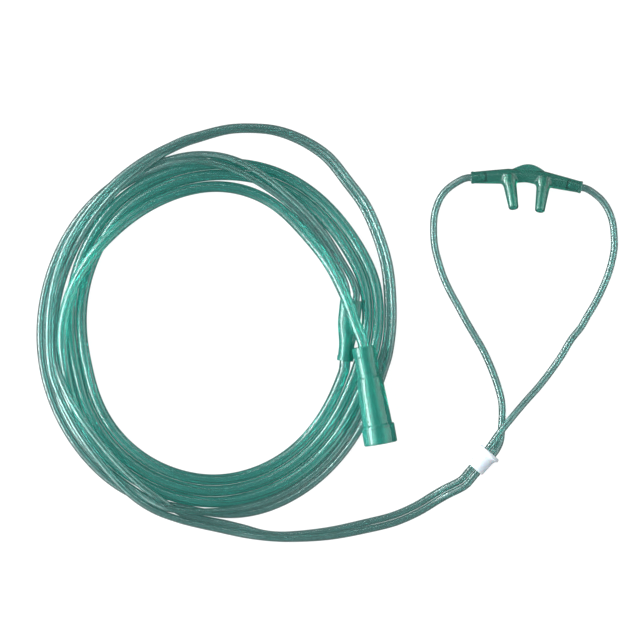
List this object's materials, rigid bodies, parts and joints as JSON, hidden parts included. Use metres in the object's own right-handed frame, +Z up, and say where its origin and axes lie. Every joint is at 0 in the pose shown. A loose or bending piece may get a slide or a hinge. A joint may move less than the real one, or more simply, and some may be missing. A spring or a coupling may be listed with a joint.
{
  "type": "nasal oxygen cannula",
  "caption": "Translucent green nasal oxygen cannula: nasal piece with curved prongs, thin tubes joined by a sliding sleeve, wound supply tube and funnel-shaped inlet connector.",
  "frame": {"origin": "on the floor under the middle of the nasal piece", "axes": "+Z up from the floor, +X along the nasal piece towards its right end as seen from above with the prongs pointing away, -Y from the nasal piece towards the slider"},
  "size_m": [0.2407, 0.1744, 0.0164],
  "materials": {
    "nasal_green": "satin translucent green soft vinyl",
    "thin_tube": "clear soft vinyl tube with a faint green tint",
    "main_tube": "clear green soft vinyl tube with fine ribs inside",
    "fitting_green": "glossy transparent green moulded plastic",
    "slider_white": "pale satin moulded plastic"
  },
  "bodies": {
    "root": {"nasal_piece": "nasal_green", "thin_tube_left": "thin_tube", "thin_tube_right": "thin_tube", "thin_tube_left_loop": "thin_tube", "thin_tube_right_loop": "thin_tube", "coil": "main_tube", "y_connector": "fitting_green", "thin_tube_left_end": "thin_tube", "thin_tube_right_end": "thin_tube", "main_tube_start": "main_tube", "main_tube_end": "main_tube", "supply_connector": "fitting_green"},
    "slider": {"slider": "slider_white"}
  },
  "joints": [
    {"name": "slider_slide", "type": "slide", "parent": "root", "child": "slider", "axis": [-0.6561, -0.7547, 0], "range_m": [0, 0.006]}
  ]
}
